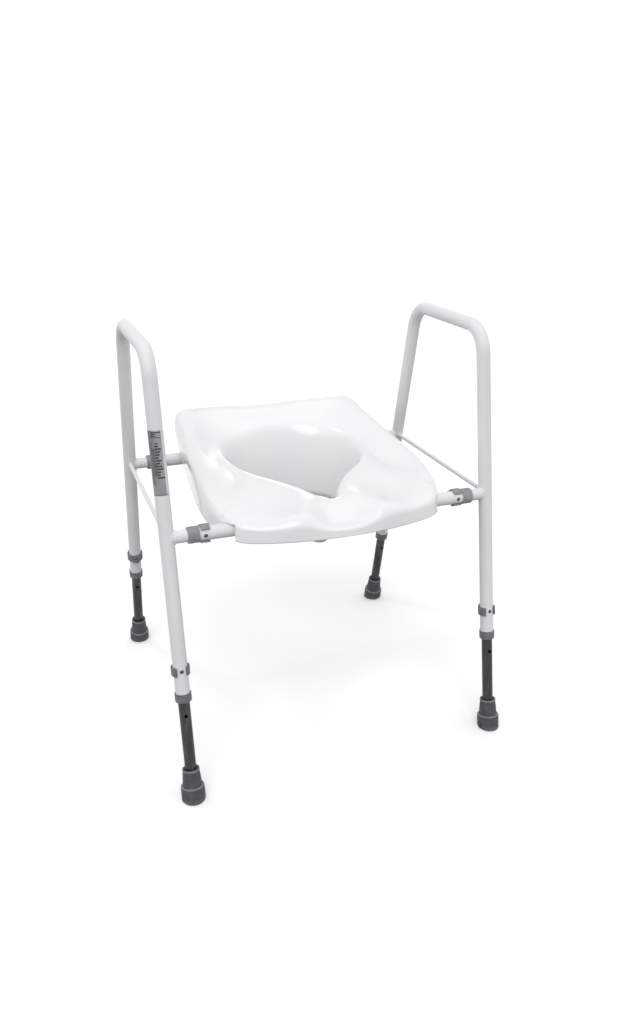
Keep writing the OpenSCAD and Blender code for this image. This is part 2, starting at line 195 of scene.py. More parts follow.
def join(name, objects):
    """One object that holds the meshes of several, which are removed."""
    bm = bmesh.new()
    for o in objects:
        bm.from_mesh(o.data)
        bpy.data.objects.remove(o)
    return link(name, mesh_from(name, bm))


def rounded_box(name, low, high, radius, matrix):
    """A box between two corners, with all its edges rounded."""
    bm = bmesh.new()
    bmesh.ops.create_cube(bm, size=1.0)
    size = [b - a for a, b in zip(low, high)]
    mid = [(a + b) / 2 for a, b in zip(low, high)]
    for v in bm.verts:
        v.co = Vector(c * s + m for c, s, m in zip(v.co, size, mid))
    bmesh.ops.bevel(bm, geom=list(bm.edges), offset=radius, segments=3, profile=0.5, affect="EDGES")
    mesh = mesh_from(name, bm)
    mesh.transform(matrix)
    shade_smooth(mesh)
    return link(name, mesh)


# ---------------------------------------------------------------- material helpers

class Shader:
    """A short way to build one node material."""

    def __init__(self, name, colour, roughness, **constants):
        self.material = bpy.data.materials.new(name)
        self.material.use_nodes = True
        self.tree = self.material.node_tree
        self.bsdf = self.tree.nodes["Principled BSDF"]
        self.bsdf.inputs["Base Color"].default_value = (*colour, 1)
        self.bsdf.inputs["Roughness"].default_value = roughness
        for key, value in constants.items():
            self.bsdf.inputs[key.replace("_", " ")].default_value = value
        self.coords = self.add("ShaderNodeTexCoord").outputs["Object"]

    def add(self, kind, **settings):
        node = self.tree.nodes.new(kind)
        for key, value in settings.items():
            setattr(node, key, value)
        return node

    def feed(self, socket, value):
        if isinstance(value, bpy.types.NodeSocket):
            self.tree.links.new(value, socket)
        else:
            socket.default_value = value

    def stretched(self, scale, turn=(0, 0, 0)):
        node = self.add("ShaderNodeMapping")
        self.feed(node.inputs["Vector"], self.coords)
        node.inputs["Rotation"].default_value = turn
        node.inputs["Scale"].default_value = scale
        return node.outputs["Vector"]

    def noise(self, scale, detail=3.0, rough=0.5, where=None):
        node = self.add("ShaderNodeTexNoise")
        self.feed(node.inputs["Vector"], self.coords if where is None else where)
        node.inputs["Scale"].default_value = scale
        node.inputs["Detail"].default_value = detail
        node.inputs["Roughness"].default_value = rough
        return node.outputs["Fac"]

    def spread(self, value, low, high, to_low=0.0, to_high=1.0):
        node = self.add("ShaderNodeMapRange", clamp=True)
        self.feed(node.inputs["Value"], value)
        for key, number in zip(("From Min", "From Max", "To Min", "To Max"), (low, high, to_low, to_high)):
            node.inputs[key].default_value = number
        return node.outputs["Result"]

    def mix(self, factor, a, b):
        node = self.add("ShaderNodeMix", data_type="RGBA")
        self.feed(node.inputs[0], factor)
        for socket, colour in zip((node.inputs[6], node.inputs[7]), (a, b)):
            self.feed(socket, colour if isinstance(colour, bpy.types.NodeSocket) else (*colour, 1))
        return node.outputs[2]

    def maths(self, operation, a, b=0.0):
        node = self.add("ShaderNodeMath", operation=operation)
        self.feed(node.inputs[0], a)
        self.feed(node.inputs[1], b)
        return node.outputs[0]

    def bump(self, height, distance, strength=1.0, after=None):
        node = self.add("ShaderNodeBump")
        node.inputs["Distance"].default_value = distance
        node.inputs["Strength"].default_value = strength
        self.feed(node.inputs["Height"], height)
        if after is not None:
            self.feed(node.inputs["Normal"], after)
        return node.outputs["Normal"]

    def axis(self, letter):
        node = self.add("ShaderNodeSeparateXYZ")
        self.feed(node.inputs[0], self.coords)
        return node.outputs[letter]

    def done(self, colour=None, roughness=None, normal=None):
        for key, value in (("Base Color", colour), ("Roughness", roughness), ("Normal", normal)):
            if value is not None:
                self.feed(self.bsdf.inputs[key], value)
        return self.material


def gloss_white():
    """Injection-moulded seat plastic: very smooth, with faint flow clouding, scuffs and a soft sheen."""
    coat = {"Coat_Weight": 0.35, "Coat_Roughness": 0.06}
    s = Shader("gloss_white_plastic", (0.86, 0.865, 0.87), 0.2, IOR=1.5, **coat)
    clouds = s.noise(7, 4, 0.55)
    colour = s.mix(s.spread(clouds, 0.3, 0.7), (0.87, 0.876, 0.888), (0.90, 0.90, 0.896))
    scuffs = s.noise(55, 6, 0.65, s.stretched((1, 5, 2), (0.3, 0.2, 0.6)))
    rough = s.spread(scuffs, 0.35, 0.75, 0.15, 0.26)
    wave = s.bump(s.noise(38, 2, 0.4), 0.0004, 0.25)
    grain = s.bump(s.noise(1500, 2, 0.5), 0.00003, 0.5, wave)
    return s.done(colour, rough, grain)


def powder_white():
    """Powder coat on steel: off-white, with an orange-peel skin and a slight change of tone."""
    s = Shader("powder_white_coat", (0.6, 0.6, 0.61), 0.36, IOR=1.5, Specular_IOR_Level=0.35)
    tone = s.mix(s.spread(s.noise(9, 4, 0.6), 0.3, 0.7), (0.80, 0.802, 0.812), (0.85, 0.85, 0.856))
    specks = s.spread(s.noise(420, 3, 0.6), 0.66, 0.74)
    colour = s.mix(s.maths("MULTIPLY", specks, 0.25), tone, (0.55, 0.55, 0.56))
    rough = s.spread(s.noise(90, 4, 0.6), 0.3, 0.7, 0.3, 0.44)
    peel = s.bump(s.noise(620, 2, 0.45), 0.00012, 0.55)
    return s.done(colour, rough, peel)


def grey_plastic(name, deep, rubbed):
    """Collars and clips: mid-grey nylon with a fine spark-eroded grain and paler rubbed patches."""
    s = Shader(name, (0.19, 0.205, 0.225), 0.45, IOR=1.5)
    patches = s.spread(s.noise(70, 5, 0.65), 0.42, 0.72)
    colour = s.mix(patches, deep, rubbed)
    rough = s.spread(s.noise(240, 4, 0.6), 0.3, 0.7, 0.36, 0.56)
    grain = s.bump(s.noise(2600, 3, 0.6), 0.00008, 0.6)
    return s.done(colour, rough, grain)


def leg_metal():
    """Leg extensions: dark bronze-grey coated tube, with drawing lines and rubbed streaks along it."""
    s = Shader("leg_dark_metal", (0.085, 0.082, 0.078), 0.34, Metallic=0.55)
    along = s.stretched((420, 420, 6))
    lines = s.noise(1.0, 4, 0.6, along)
    streaks = s.spread(s.noise(1.0, 3, 0.55, s.stretched((110, 110, 3))), 0.5, 0.75)
    colour = s.mix(streaks, (0.045, 0.043, 0.040), (0.10, 0.096, 0.09))
    rough = s.spread(lines, 0.3, 0.7, 0.26, 0.46)
    return s.done(colour, rough, s.bump(lines, 0.00006, 0.5))


def foot_rubber():
    """Ferrules: slate-grey rubber, chalky where it is rubbed, dusty and scuffed near the floor."""
    s = Shader("foot_slate_rubber", (0.1, 0.115, 0.13), 0.62, IOR=1.5)
    bloom = s.spread(s.noise(60, 5, 0.65), 0.35, 0.75)
    body = s.mix(bloom, (0.05, 0.058, 0.062), (0.085, 0.096, 0.102))
    near_floor = s.spread(s.axis("Z"), 0.0, 0.012, 1.0, 0.0)
    dust = s.maths("MULTIPLY", near_floor, s.spread(s.noise(300, 5, 0.7), 0.35, 0.7))
    colour = s.mix(dust, body, (0.24, 0.235, 0.225))
    rough = s.spread(s.noise(180, 4, 0.6), 0.3, 0.7, 0.5, 0.74)
    pores = s.bump(s.noise(1700, 3, 0.6), 0.00010, 0.7)
    return s.done(colour, rough, s.bump(s.noise(130, 3, 0.5), 0.0003, 0.25, pores))


def rim_painted_highlight():
    """Paler bands on the rounded rims of each ferrule's neck and cup: a painted highlight along those edges, with
    random rubbed patches.
    """
    s = Shader("ferrule_rim_painted_highlight", (0.4, 0.42, 0.44), 0.5, IOR=1.5)
    rubbed = s.spread(s.noise(150, 4, 0.6), 0.3, 0.7)
    colour = s.mix(rubbed, (0.13, 0.142, 0.15), (0.26, 0.272, 0.282))
    return s.done(colour, s.spread(rubbed, 0, 1, 0.42, 0.6), s.bump(s.noise(1400, 3, 0.6), 0.00006, 0.6))


def pin_steel():
    """Bright zinc-plated steel with turning lines."""
    s = Shader("pin_bright_steel", (0.72, 0.72, 0.73), 0.25, Metallic=1.0)
    lines = s.noise(1.0, 3, 0.6, s.stretched((900, 90, 900)))
    colour = s.mix(s.spread(s.noise(130, 4, 0.6), 0.35, 0.7), (0.66, 0.66, 0.67), (0.78, 0.78, 0.785))
    return s.done(colour, s.spread(lines, 0.3, 0.7, 0.16, 0.34), s.bump(lines, 0.00003, 0.5))


def dark_pin():
    """Locking pins: dark plated steel, a little worn on the nose."""
    s = Shader("pin_dark_steel", (0.16, 0.16, 0.165), 0.3, Metallic=0.85)
    wear = s.spread(s.noise(420, 5, 0.65), 0.45, 0.75)
    colour = s.mix(wear, (0.07, 0.07, 0.073), (0.24, 0.24, 0.245))
    rings = s.noise(1.0, 3, 0.6, s.stretched((900, 90, 900)))
    return s.done(colour, s.spread(wear, 0, 1, 0.34, 0.22), s.bump(rings, 0.00003, 0.5))


def label_film():
    """A silver-grey sticker: pale border, grey field, and plain bars and lines in place of print."""
    s = Shader("label_silver_film", (0.3, 0.31, 0.33), 0.35, Metallic=0.25, IOR=1.5)
    uv = s.add("ShaderNodeUVMap", uv_map="wrap").outputs["UV"]
    parts = s.add("ShaderNodeSeparateXYZ")
    s.feed(parts.inputs[0], uv)
    across, up = parts.outputs["X"], parts.outputs["Y"]
    field = s.mix(s.spread(across, 0.25, 0.7), (0.13, 0.133, 0.142), (0.34, 0.345, 0.358))
    field = s.mix(s.spread(up, 0.2, 0.12), field, (0.3, 0.305, 0.315))

    def marks(left, right, low, high, rows, seed):
        """Plain bars of uneven length in a column, standing for print."""
        step = s.add("ShaderNodeMath", operation="SNAP")
        s.feed(step.inputs[0], up)
        step.inputs[1].default_value = 1 / rows
        row = s.add("ShaderNodeTexWhiteNoise", noise_dimensions="1D")
        s.feed(row.inputs["W"], s.maths("ADD", step.outputs[0], seed))
        reach = s.maths("MULTIPLY_ADD", row.outputs["Value"], right - left)
        reach.node.inputs[2].default_value = left + (right - left) * 0.35
        inside = s.maths("LESS_THAN", across, reach)
        for test, limit in (("GREATER_THAN", left), ("LESS_THAN", right)):
            inside = s.maths("MULTIPLY", inside, s.maths(test, across, limit))
        for test, limit in (("GREATER_THAN", low), ("LESS_THAN", high)):
            inside = s.maths("MULTIPLY", inside, s.maths(test, up, limit))
        gap = s.maths("LESS_THAN", s.maths("FRACT", s.maths("MULTIPLY", up, rows)), 0.62)
        return s.maths("MULTIPLY", inside, gap)

    column = marks(0.54, 0.86, 0.26, 0.8, 23, 3.0)
    heading = marks(0.4, 0.84, 0.875, 0.965, 38, 7.0)
    notes = marks(0.44, 0.56, 0.3, 0.72, 61, 5.0)
    bars = s.maths("MAXIMUM", s.maths("MAXIMUM", column, heading), notes)
    lines = marks(0.3, 0.46, 0.2, 0.8, 83, 11.0)
    colour = s.mix(s.maths("MULTIPLY", bars, 0.9), field, (0.018, 0.018, 0.02))
    colour = s.mix(s.maths("MULTIPLY", lines, 0.6), colour, (0.05, 0.05, 0.055))
    edge = s.maths("MAXIMUM", s.spread(across, 0.86, 0.865), s.spread(up, 0.985, 0.99))
    colour = s.mix(edge, colour, (0.7, 0.705, 0.715))
    rough = s.spread(s.noise(160, 4, 0.6), 0.3, 0.7, 0.26, 0.42)
    return s.done(colour, rough, s.bump(s.noise(300, 3, 0.5), 0.00004, 0.4))


def stage_floor():
    """The studio floor: nearly white, and faintly bright by itself like a lit backdrop."""
    s = Shader("floor_pale", (0.93, 0.93, 0.93), 0.8, Specular_IOR_Level=0.1, Emission_Strength=0.16)
    colour = s.mix(s.noise(1.5, 3, 0.5), (0.95, 0.95, 0.95), (0.97, 0.97, 0.97))
    return s.done(colour)


MATERIALS = {
    "gloss_white": gloss_white(), "powder_white": powder_white(),
    "grey_plastic": grey_plastic("grey_nylon", (0.125, 0.135, 0.148), (0.205, 0.217, 0.234)),
    "pale_grey_plastic": grey_plastic("pale_grey_nylon", (0.245, 0.255, 0.272), (0.34, 0.352, 0.372)),
    "leg_metal": leg_metal(), "foot_rubber": foot_rubber(), "rim_painted_highlight": rim_painted_highlight(),
    "steel_pin": pin_steel(), "dark_pin": dark_pin(), "label_film": label_film(),
}


def finish_with(obj, material, body, *nodes, slot=None):
    """Paints a new piece, sets it on its body and hides the CAD nodes it stands for."""
    obj.data.materials.clear()
    obj.data.materials.append(MATERIALS[material])
    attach(obj, body)
    if nodes:
        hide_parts(*nodes)


# ---------------------------------------------------------------- seat moulding

# Half of the seat in mm: control points at 17 stations, from the middle of the front round to the middle
# of the back. Lip: edge of the hopper's mouth. Crest: top of the border. Edge: outermost bulge.
# Hem: foot of the skirt.
LIP = [
    [0, -170, 498], [13, -166, 498], [24, -146, 499], [35, -118, 502], [54, -88, 505], [79, -62, 509],
    [110, -37, 513], [132, -5, 516], [139, 33, 519], [138, 68, 521], [130, 98, 523], [114, 122, 525],
    [92, 142, 527], [70, 155, 528], [46, 163, 529], [24, 167, 530], [0, 168, 530],
]
CREST = [
    [0, -230, 474], [34, -230, 474], [66, -231, 505], [104, -226, 495], [142, -214, 489], [180, -197, 495],
    [203, -162, 503], [214, -110, 517], [216, -50, 527], [213, 20, 534], [207, 100, 545], [203, 175, 558],
    [200, 228, 569], [170, 236, 569], [100, 238, 568], [50, 238, 564], [0, 238, 562],
]
EDGE = [
    [0, -250, 471], [38, -249, 472], [74, -246, 487], [110, -239, 484], [148, -228, 481], [192, -214, 487],
    [215, -166, 494], [224, -106, 503], [223, -44, 510], [218, 24, 516], [211, 104, 524], [207, 180, 534],
    [205, 237, 544], [172, 243, 544], [100, 244, 542], [50, 244, 540], [0, 244, 540],
]
HEM = [
    [0, -253], [38, -252], [76, -249], [112, -242], [150, -233], [195, -217],
    [219, -169], [225, -106], [221, -40], [215, 24], [206, 104], [200, 176],
    [194, 214], [160, 216], [100, 216], [50, 216], [0, 216],
]
# Share of the way from lip to crest at which the border breaks downwards into the dish
BRIM = [
    0.85, 0.85, 0.85, 0.85, 0.8, 0.68, 0.6, 0.2, 0.42, 0.62, 0.7, 0.72, 0.72, 0.68, 0.64, 0.62, 0.62,
]
LAST = len(LIP) - 1
SEAT_WALL = 3.5

# Hopper: its wall and its outlet are the lip's outline, shrunk towards a middle point
HOPPER_Y = 10
WALL_SCALE, WALL_Z = 0.88, 474
OUTLET_SCALE, OUTLET_Z = 0.72, 388

# The first stations have the lower front hem, and the recess for a hand is crowned more than the thigh
# rests beside it. Behind them a flat brim breaks down into a dish.
FRONT_HEM_COUNT, FRONT_HEM_Z, SIDE_HEM_Z = 6, 457, 467
RECESS_COUNT, RECESS_CROWN, THIGH_CROWN = 2, 8, 3
FRONT_COUNT = 7
BRIM_DROP, BRIM_REACH, BRIM_EDGE, BRIM_FALL = 6, 1.25, 0.09, 3.2
DISH_SHARE, DISH_HEIGHT = 0.45, 0.36

# Arches in the skirt over the cross tubes, by station: the front ones have two ends, and the rear ones run
# on round the back
FRONT_ARCH, REAR_ARCH = (5.05, 5.85), 11
ARCH_BLEND, ARCH_GAP = 0.05, 0.8
ARCH_R = tube_r / MM + ARCH_GAP
ARCH_Z = (cross_z + tube_r) / MM + ARCH_GAP


def shrunk(p, scale, z):
    return np.array([p[X] * scale, HOPPER_Y + (p[Y] - HOPPER_Y) * scale, z])


def rest_points(lip, crest, k):
    """Three points from lip to crest across a thigh rest or the hand recess."""
    crown = RECESS_CROWN if k < RECESS_COUNT else THIGH_CROWN
    points = []
    for part in (0.36, 0.72, 1):
        f = part * BRIM[k]
        points.append(lip + f * (crest - lip) + [0, 0, crown * (1 - f)])
    return points


def dish_points(lip, crest, k):
    """Three points from lip to crest: up the dish, just inside the brim's break, and the break itself."""
    b = BRIM[k]
    z = crest[Z] - BRIM_DROP * (BRIM_REACH - b)
    inner = lip + (b - BRIM_EDGE) * (crest - lip)
    outer = lip + b * (crest - lip)
    dip = lip + DISH_SHARE * b * (crest - lip)
    inner[Z], outer[Z] = z - BRIM_FALL, z
    dip[Z] = lip[Z] + (z - BRIM_FALL - lip[Z]) * DISH_HEIGHT
    return [dip, inner, outer]


def station(k):
    """The control points of one station, from the hopper's outlet to the skirt's hem."""
    lip, crest, edge = (np.array(row[k], float) for row in (LIP, CREST, EDGE))
    hem = np.array([*HEM[k], FRONT_HEM_Z if k < FRONT_HEM_COUNT else SIDE_HEM_Z], float)
    outlet = shrunk(lip, OUTLET_SCALE, OUTLET_Z)
    wall = shrunk(lip, WALL_SCALE, WALL_Z)
    between = rest_points(lip, crest, k) if k < FRONT_COUNT else dish_points(lip, crest, k)
    return np.array([outlet, wall, lip, *between, crest, edge, (edge + hem) / 2, hem])


HALF_NET = np.array([station(k) for k in range(LAST + 1)])
NET = np.concatenate([HALF_NET, HALF_NET[LAST - 1:0:-1] * [-1, 1, 1]])
ROWS = NET.shape[1] - 2


def around(u):
    """Control points of the meridian at u: closed cubic spline round the seat. u is an array."""
    n = len(NET)
    i = np.floor(u).astype(int)
    t = (u - i)[:, None, None]
    weights = ((1 - t) ** 3, 3 * t ** 3 - 6 * t ** 2 + 4, -3 * t ** 3 + 3 * t ** 2 + 3 * t + 1, t ** 3)
    return sum(w / 6 * NET[(i + k - 1) % n] for k, w in enumerate(weights))


def across(q, v):
    """Point at v on each meridian in q, a clamped quadratic spline. v is one number or one for each."""
    v = np.broadcast_to(v, len(q))
    i = np.minimum(v.astype(int), ROWS - 1)
    t = (v - i)[:, None]
    n = np.arange(len(q))
    b = q[n, i + 1]
    a = np.where((i == 0)[:, None], q[:, 0], (q[n, i] + b) / 2)
    c = np.where((i == ROWS - 1)[:, None], q[:, ROWS + 1], (b + q[n, i + 2]) / 2)
    return (1 - t) ** 2 * a + 2 * t * (1 - t) * b + t * t * c


def ease(x):
    x = np.clip(x, 0, 1)
    return x * x * (3 - 2 * x)


def hem_height(u, y, foot):
    """Height of the hem at u, where the skin stands at y and, uncut, would end at foot.

    It has arches over the cross tubes, and the front ones close round the tube behind.
    """
    h = np.minimum(u, 2 * LAST - u)
    up, down, back = (ease((h - e) / ARCH_BLEND + 0.5) for e in (*FRONT_ARCH, REAR_ARCH))
    arch = np.clip(up - down + back, 0, 1)
    behind = np.clip(y + cross_y / MM, 0, ARCH_R)
    snug = cross_z / MM + np.sqrt(ARCH_R ** 2 - behind ** 2)
    low = foot[:, Z]
    front = np.where(foot[:, Y] + cross_y / MM < ARCH_R, np.minimum(ARCH_Z, snug), low)
    over = np.where(h < FRONT_COUNT, front, ARCH_Z)
    return low + (over - low) * arch


# A shallow valley in the outside, running up from the rear end of each front arch
VALLEY_U, VALLEY_WIDTH, VALLEY_DEPTH = 5.86, 0.15, 2.4
VALLEY_ROWS = (5.0, 6.2, 7.0, 8.0)


def valley(u, v):
    """How far the outside is pressed in at u and v, in mm."""
    h = np.minimum(u, 2 * LAST - u)
    start, full, fade, stop = VALLEY_ROWS
    share = ease((v - start) / (full - start)) * ease((stop - v) / (stop - fade))
    return VALLEY_DEPTH * share * np.exp(-((h - VALLEY_U) / VALLEY_WIDTH) ** 2)


def seat_columns():
    """Stations round the seat, closer together where the hem steps over a tube."""
    ends = [0, *FRONT_ARCH, REAR_ARCH, LAST]
    spread = []
    for a, b in zip(ends, ends[1:]):
        count = max(8, int((b - a) * 9))
        spread.extend(np.linspace(a, b, count, endpoint=False))
    for e in (*FRONT_ARCH, REAR_ARCH):
        spread.extend(np.linspace(e - ARCH_BLEND / 2, e + ARCH_BLEND / 2, 9))
    round_tube = 0.3
    spread.extend(np.linspace(FRONT_ARCH[1] - round_tube, FRONT_ARCH[1], 30))
    half = np.unique(np.round(spread, 4))
    half = half[(half > 0) & (half < LAST)]
    return np.concatenate([[0], half, [LAST], 2 * LAST - half[::-1]])


# Rows from here to the hem are squeezed up where the skirt is cut away
SKIRT_V = ROWS - 2
OUTER_ROWS, HEM_ROWS, INNER_ROWS = 105, 7, 60


def skirt_end(u, skin, foot):
    """v at which a skin of the seat reaches the hem at each u, found on its last two spans."""
    steps = np.linspace(ROWS, SKIRT_V, 81)
    heights = np.stack([skin(v)[:, Z] for v in steps], axis=1)
    end = np.full(len(u), float(ROWS))
    for _ in range(4):
        hem = hem_height(u, skin(end)[:, Y], foot)
        end = np.array([np.interp(z, row, steps) for z, row in zip(hem, heights)])
    return end


def seat_surface():
    """Rings of points: over the outside from outlet to hem, round the hem, and back along the inside."""
    u = seat_columns()
    q = around(u)
    nudge = 0.01
    qa, qb = around(u - nudge), around(u + nudge)

    def normal(v):
        along = across(qb, v) - across(qa, v)
        down = across(q, np.minimum(v + nudge, ROWS)) - across(q, np.maximum(v - nudge, 0))
        n = np.cross(along, down)
        return n / np.linalg.norm(n, axis=1, keepdims=True)

    def outer(v):
        return across(q, v) + valley(u, v)[:, None] * normal(v)

    def inner(v):
        return across(q, v) + SEAT_WALL * normal(v)

    def trimmed(skin, v, end):
        return skin(v + max(v - SKIRT_V, 0) * (end - ROWS) / (ROWS - SKIRT_V))

    foot = across(q, ROWS)
    outer_end, inner_end = skirt_end(u, outer, foot), skirt_end(u, inner, foot)
    rows = [trimmed(outer, v, outer_end) for v in np.linspace(0, ROWS, OUTER_ROWS)]
    start, stop = outer(outer_end), inner(inner_end)
    for turn in np.linspace(0, math.pi, HEM_ROWS)[1:-1]:
        rows.append(start + (stop - start) * (1 - math.cos(turn)) / 2)
    rows.extend(trimmed(inner, v, inner_end) for v in np.linspace(ROWS, 0, INNER_ROWS))
    return np.stack(rows, axis=1) * MM


def build_seat():
    rings = seat_surface().tolist()
    verts, faces = loft(rings, closed_path=True)
    seat = outward(new_object("seat_shell", verts, faces))
    finish_with(seat, "gloss_white", "seat", "seat_moulding")


# ---------------------------------------------------------------- ferrules

# Ferrule, in mm along the leg: it is made too long below, then cut flat at the floor
FERRULE_BELOW, FERRULE_BASE, FERRULE_ROUND = -12, 12, 2.2
# The two rims painted paler as a painted highlight: lowest, highest and smallest radius in mm
CUP_RIM = (25.7, 27.15, foot_r / MM - 3.4)
NECK_RIM = (57.5, 60.5, 13)


def ferrule_profile():
    """(radius, height) points in metres round half of a ferrule: up the outside, then down the bore."""
    r, top, bore = foot_r / MM, foot_h / MM, leg_r / MM + 0.05
    outside = [
        (0, FERRULE_BELOW), (r, FERRULE_BELOW), (r, 0.5), (r, 24.4), (r - 0.3, 25.8), (r - 1.4, 26.8),
        (r - 3.2, 27.2), (17.6, 28.2), (17.2, 30), (16.4, 42), (15.4, 53.5), (15.1, 56), (15.5, 56.6),
        (15.6, 58.6), (15.2, 59.6), (14.2, top),
    ]
    inside = [(11.2, top), (bore + 0.1, 59.3), (bore, 57.5), (bore, FERRULE_BASE), (0, FERRULE_BASE)]
    return [(radius * MM, height * MM) for radius, height in outside + inside]


def cut_at_floor(obj, round_r):
    """Trims a mesh flat at the floor and rounds the new edge."""
    bm = bmesh.new()
    bm.from_mesh(obj.data)
    everything = [*bm.verts, *bm.edges, *bm.faces]
    cut = bmesh.ops.bisect_plane(
        bm, geom=everything, plane_co=(0, 0, 0), plane_no=(0, 0, 1), clear_inner=True)
    ring = [g for g in cut["geom_cut"] if isinstance(g, bmesh.types.BMEdge)]
    filled = bmesh.ops.edgeloop_fill(bm, edges=ring)["faces"]
    rim = [e for f in filled for e in f.edges]
    bmesh.ops.bevel(bm, geom=rim, offset=round_r, segments=4, profile=0.5, affect="EDGES")
    bmesh.ops.recalc_face_normals(bm, faces=bm.faces)
    bm.to_mesh(obj.data)
    bm.free()


def paint_bands(obj, bands, matrix, material_index):
    """Gives another material to the faces whose middle lies in one of the bands round the part's axis."""
    inverse = matrix.inverted()
    for face in obj.data.polygons:
        p = (inverse @ face.center) / MM
        if any(low < p.z < high and math.hypot(p.x, p.y) > least for low, high, least in bands):
            face.material_index = material_index


def build_ferrules():
    for corner, side, end in CORNERS:
        place = leg_matrix(side, end)
        foot = lathe("ferrule_rubber_" + corner, ferrule_profile(), 72, place)
        cut_at_floor(foot, FERRULE_ROUND * MM)
        finish_with(foot, "foot_rubber", "leg_body_" + corner, "ferrule_" + corner)
        # The rounded rims of neck and cup get the paler material: a painted highlight along those edges.
        foot.data.materials.append(MATERIALS["rim_painted_highlight"])
        paint_bands(foot, (CUP_RIM, NECK_RIM), place, 1)
        shade_smooth(foot.data)


# ---------------------------------------------------------------- locking clips

CLIP_BORE_R = tube_r + 0.2 * MM
CLIP_R = 16.5 * MM
CLIP_H = 16 * MM
CLIP_BACK_W, CLIP_BACK_D = 13 * MM, 3 * MM
CLIP_TAB_W, CLIP_TAB_D, CLIP_TAB_H = 9 * MM, 7 * MM, 3 * MM
# Half of each clip's opening, in degrees
LEG_GAP, CROSS_GAP = 35, 45
# The strap's steps along its length, and how many of them at each tip round off and flare outwards
CLIP_STEPS, TIP_STEPS, FLARE_STEPS, FLARE = 96, 3, 8, 0.9 * MM


def clip_ring(name, gap, matrix):
    """The springy C: a rounded strap bent round the tube, open towards local -Y, with flared tips."""
    half = CLIP_H / 2
    corners = [(CLIP_BORE_R, -half), (CLIP_R, -half), (CLIP_R, half), (CLIP_BORE_R, half)]
    section = rounded(corners, 1.1 * MM, 4)
    mid_r = (CLIP_BORE_R + CLIP_R) / 2
    rings = []
    for i in range(CLIP_STEPS + 1):
        t = i / CLIP_STEPS
        a = math.radians(-90 + gap + t * (360 - 2 * gap))
        near_tip = min(t, 1 - t) * CLIP_STEPS
        shrink = math.sqrt(1 - (1 - min(near_tip, TIP_STEPS) / TIP_STEPS) ** 2) * 0.35 + 0.65
        lift = FLARE * (1 - min(near_tip, FLARE_STEPS) / FLARE_STEPS) ** 2
        ring = []
        for r, z in section:
            r2 = mid_r + lift + (r - mid_r) * shrink
            z2 = z * (0.85 + 0.15 * shrink)
            ring.append((r2 * math.cos(a), r2 * math.sin(a), z2))
        rings.append(ring)
    verts, faces = loft(rings)
    return outward(new_object(name, verts, faces, matrix))


def clip_piece(name, gap, centre):
    """Ring, ridged back and pull tab of one clip, as one moulding."""
    w, h = CLIP_BACK_W / 2, CLIP_H / 2
    back_y = CLIP_R + CLIP_BACK_D
    tab_low = (-CLIP_TAB_W / 2, CLIP_R, -CLIP_TAB_H / 2)
    tab_high = (CLIP_TAB_W / 2, CLIP_R + CLIP_TAB_D, CLIP_TAB_H / 2)
    parts = [
        clip_ring(name + "_ring", gap, centre),
        rounded_box(name + "_back", (-w, CLIP_R - 2.5 * MM, -h), (w, back_y, h), 0.9 * MM, centre),
        rounded_box(name + "_tab", tab_low, tab_high, 0.7 * MM, centre),
    ]
    for level in (-5.2, 5.2):
        z = level * MM
        low = (-w + 1 * MM, back_y - 0.8 * MM, z - 0.8 * MM)
        high = (w - 1 * MM, back_y + 0.6 * MM, z + 0.8 * MM)
        parts.append(rounded_box(name + "_ridge", low, high, 0.35 * MM, centre))
    return join(name, parts)


def build_clips():
    for corner, side, end in CORNERS:
        leg_place = leg_matrix(side, end) @ Matrix.Translation((0, 0, leg_pin_s))
        clip = clip_piece("leg_clip_moulding_" + corner, LEG_GAP, leg_place)
        finish_with(clip, "grey_plastic", "leg_lock_" + corner, "leg_clip_" + corner)
        cross_place = cross_matrix(side, end) @ Matrix.Translation((0, 0, cross_pin_x))
        clip = clip_piece("cross_clip_moulding_" + corner, CROSS_GAP, cross_place)
        body, node = "width_lock_" + corner, "cross_clip_" + corner
        finish_with(clip, "pale_grey_plastic", body, node, slot="grey_plastic")


# ---------------------------------------------------------------- weld beads

STUB_BEAD_R, BRACE_BEAD_R, BEAD_RIPPLE = 1.7 * MM, 1.2 * MM, 0.12


def meeting_curve(origin, direction, radius, axis_point, axis, steps):
    """Points where a round bar of the given radius leaves the surface of an upright."""
    direction, axis = Vector(direction).normalized(), Vector(axis).normalized()
    e1 = direction.orthogonal().normalized()
    e2 = direction.cross(e1)
    flat_d = direction - axis * direction.dot(axis)
    out = []
    for i in range(steps):
        a = 2 * math.pi * i / steps
        p = Vector(origin) + (e1 * math.cos(a) + e2 * math.sin(a)) * radius
        w = p - Vector(axis_point)
        flat_w = w - axis * w.dot(axis)
        qa, qb, qc = flat_d.length_squared, 2 * flat_w.dot(flat_d), flat_w.length_squared - tube_r ** 2
        t = (-qb + math.sqrt(max(qb * qb - 4 * qa * qc, 0))) / (2 * qa)
        out.append(p + direction * t)
    return out


def bead(name, curve, radius):
    """A weld bead: a closed, slightly rippled round cord along a curve."""
    n = len(curve)
    centre = sum(curve, Vector()) / n
    sides = 12
    rings = []
    for i, p in enumerate(curve):
        along = (curve[(i + 1) % n] - curve[i - 1]).normalized()
        e1 = ((p - centre) - along * (p - centre).dot(along)).normalized()
        e2 = along.cross(e1)
        turn = i * 2 * math.pi / n
        r = radius * (1 + BEAD_RIPPLE * math.sin(11 * turn) + 0.5 * BEAD_RIPPLE * math.sin(5 * turn))
        ring = []
        for k in range(sides):
            a = 2 * math.pi * k / sides
            ring.append(tuple(p + (e1 * math.cos(a) + e2 * math.sin(a)) * r))
        rings.append(ring)
    verts, faces = loft(rings, closed_path=True)
    return outward(new_object(name, verts, faces))


